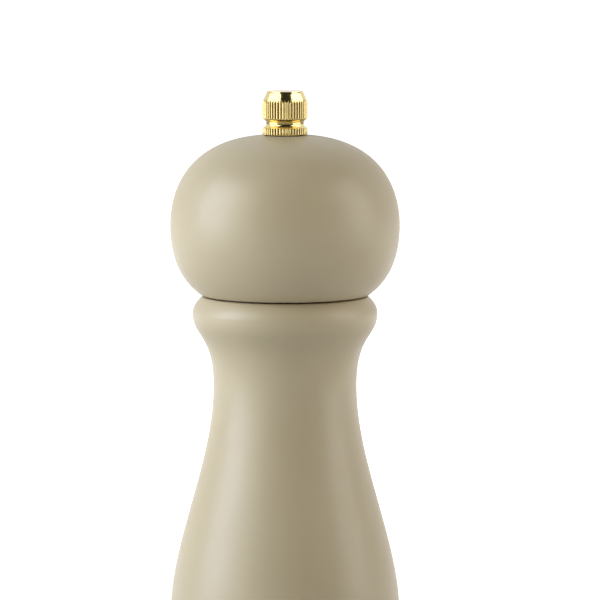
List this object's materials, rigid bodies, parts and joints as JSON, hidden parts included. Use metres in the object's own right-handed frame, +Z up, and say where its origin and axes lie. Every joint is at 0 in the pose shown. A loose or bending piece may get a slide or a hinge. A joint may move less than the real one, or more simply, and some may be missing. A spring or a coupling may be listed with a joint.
{
  "type": "pepper mill",
  "caption": "Turned wooden pepper mill with a flattened ball head, waisted body, brass grind knob and ceramic burr grinder.",
  "frame": {"origin": "centre of the flat foot ring, on the surface that the mill stands on", "axes": "+Z up along the mill's axis; +X through one of the three flange screws"},
  "size_m": [0.06, 0.06, 0.18],
  "materials": {
    "lacquered_wood": "matt greige lacquer over turned beech",
    "dark_plastic": "moulded black-brown",
    "pale_plastic": "moulded off-white",
    "burr_ceramic": "unglazed, fine",
    "steel_bar": "drawn stainless bar",
    "stamped_steel": "stamped, dull",
    "spring_steel": "drawn wire",
    "zinc_screw": "zinc plated",
    "dark_washer": "dark fibre",
    "brass": "turned, knurled, satin"
  },
  "bodies": {
    "mill_body": {"turned_body": "lacquered_wood", "neck_sleeve": "dark_plastic", "grinder_cage": "dark_plastic", "grinder_flange": "dark_plastic", "stator_burr": "burr_ceramic", "flange_screws": "zinc_screw"},
    "bush": {"shaft_bush": "pale_plastic", "rotor_spring": "spring_steel"},
    "shaft": {"drive_shaft": "steel_bar", "stop_clip": "stamped_steel", "spring_washer": "stamped_steel", "rotor_hub": "pale_plastic", "rotor_burr": "burr_ceramic", "rotor_washer": "stamped_steel", "rotor_screw": "zinc_screw"},
    "head": {"turned_head": "lacquered_wood", "drive_plate": "stamped_steel", "drive_plate_screws": "zinc_screw"},
    "washer": {"knob_washer": "dark_washer"},
    "knob": {"grind_knob": "brass"}
  },
  "joints": [
    {"name": "grind_turn", "type": "hinge", "parent": "mill_body", "child": "bush", "pos_m": [0, 0, 0.0315], "axis": [0, 0, 1], "continuous": true},
    {"name": "grind_adjust", "type": "slide", "parent": "bush", "child": "shaft", "axis": [0, 0, 1], "range_m": [-0.0016, 0.0004], "deforming": ["rotor_spring"]},
    {"name": "head_lift", "type": "slide", "parent": "bush", "child": "head", "axis": [0, 0, 1], "range_m": [0, 0.07]},
    {"name": "knob_lift", "type": "slide", "parent": "head", "child": "washer", "axis": [0, 0, 1], "range_m": [0, 0.02]},
    {"name": "knob_turn", "type": "hinge", "parent": "washer", "child": "knob", "pos_m": [0, 0, 0.169], "axis": [0, 0, 1], "range_deg": [-180, 720]}
  ],
  "couplings": [
    {"joint": "knob_turn", "follows": "grind_adjust", "rad_per_m": -7854}
  ]
}
